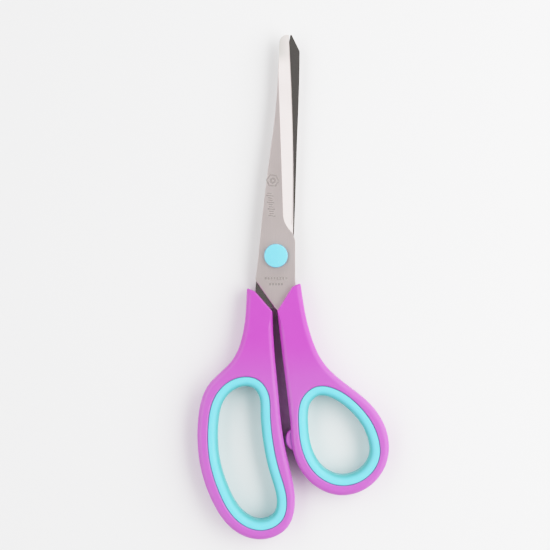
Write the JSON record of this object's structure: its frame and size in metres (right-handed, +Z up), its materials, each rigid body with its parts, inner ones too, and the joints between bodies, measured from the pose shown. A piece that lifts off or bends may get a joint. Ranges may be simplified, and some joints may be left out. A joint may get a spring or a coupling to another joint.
{
  "type": "soft-grip scissors",
  "caption": "Straight-edged craft scissors with a riveted pivot, moulded handles and soft-lined thumb and finger loops.",
  "frame": {"origin": "centre of the lying object's footprint, on the plane it rests on", "axes": "+Y along the scissors towards the blade tips, +X towards the thumb loop, +Z up, away from the rest plane and along the pivot axis"},
  "size_m": [0.0816, 0.2152, 0.0106],
  "materials": {
    "blade_steel": "satin ground",
    "handle_plastic": "semi-gloss moulded",
    "soft_grip": "soft satin",
    "rivet_steel": "turned",
    "cap_plastic": "gloss",
    "spring_steel": "satin",
    "washer_plastic": "matt"
  },
  "bodies": {
    "finger_half": {"finger_blade": "blade_steel", "finger_handle": "handle_plastic", "finger_grip_liner": "soft_grip", "pivot_rivet": "rivet_steel", "pivot_cap": "cap_plastic", "spring_washer": "spring_steel", "blade_washer": "washer_plastic", "backing_washer": "rivet_steel"},
    "thumb_half": {"thumb_blade": "blade_steel", "thumb_handle": "handle_plastic", "thumb_grip_liner": "soft_grip"}
  },
  "joints": [
    {"name": "blade_pivot", "type": "hinge", "parent": "finger_half", "child": "thumb_half", "pos_m": [-0.00733, 0.01307, 0.0053], "axis": [0, 0, 1], "range_deg": [-0.5, 105]}
  ]
}
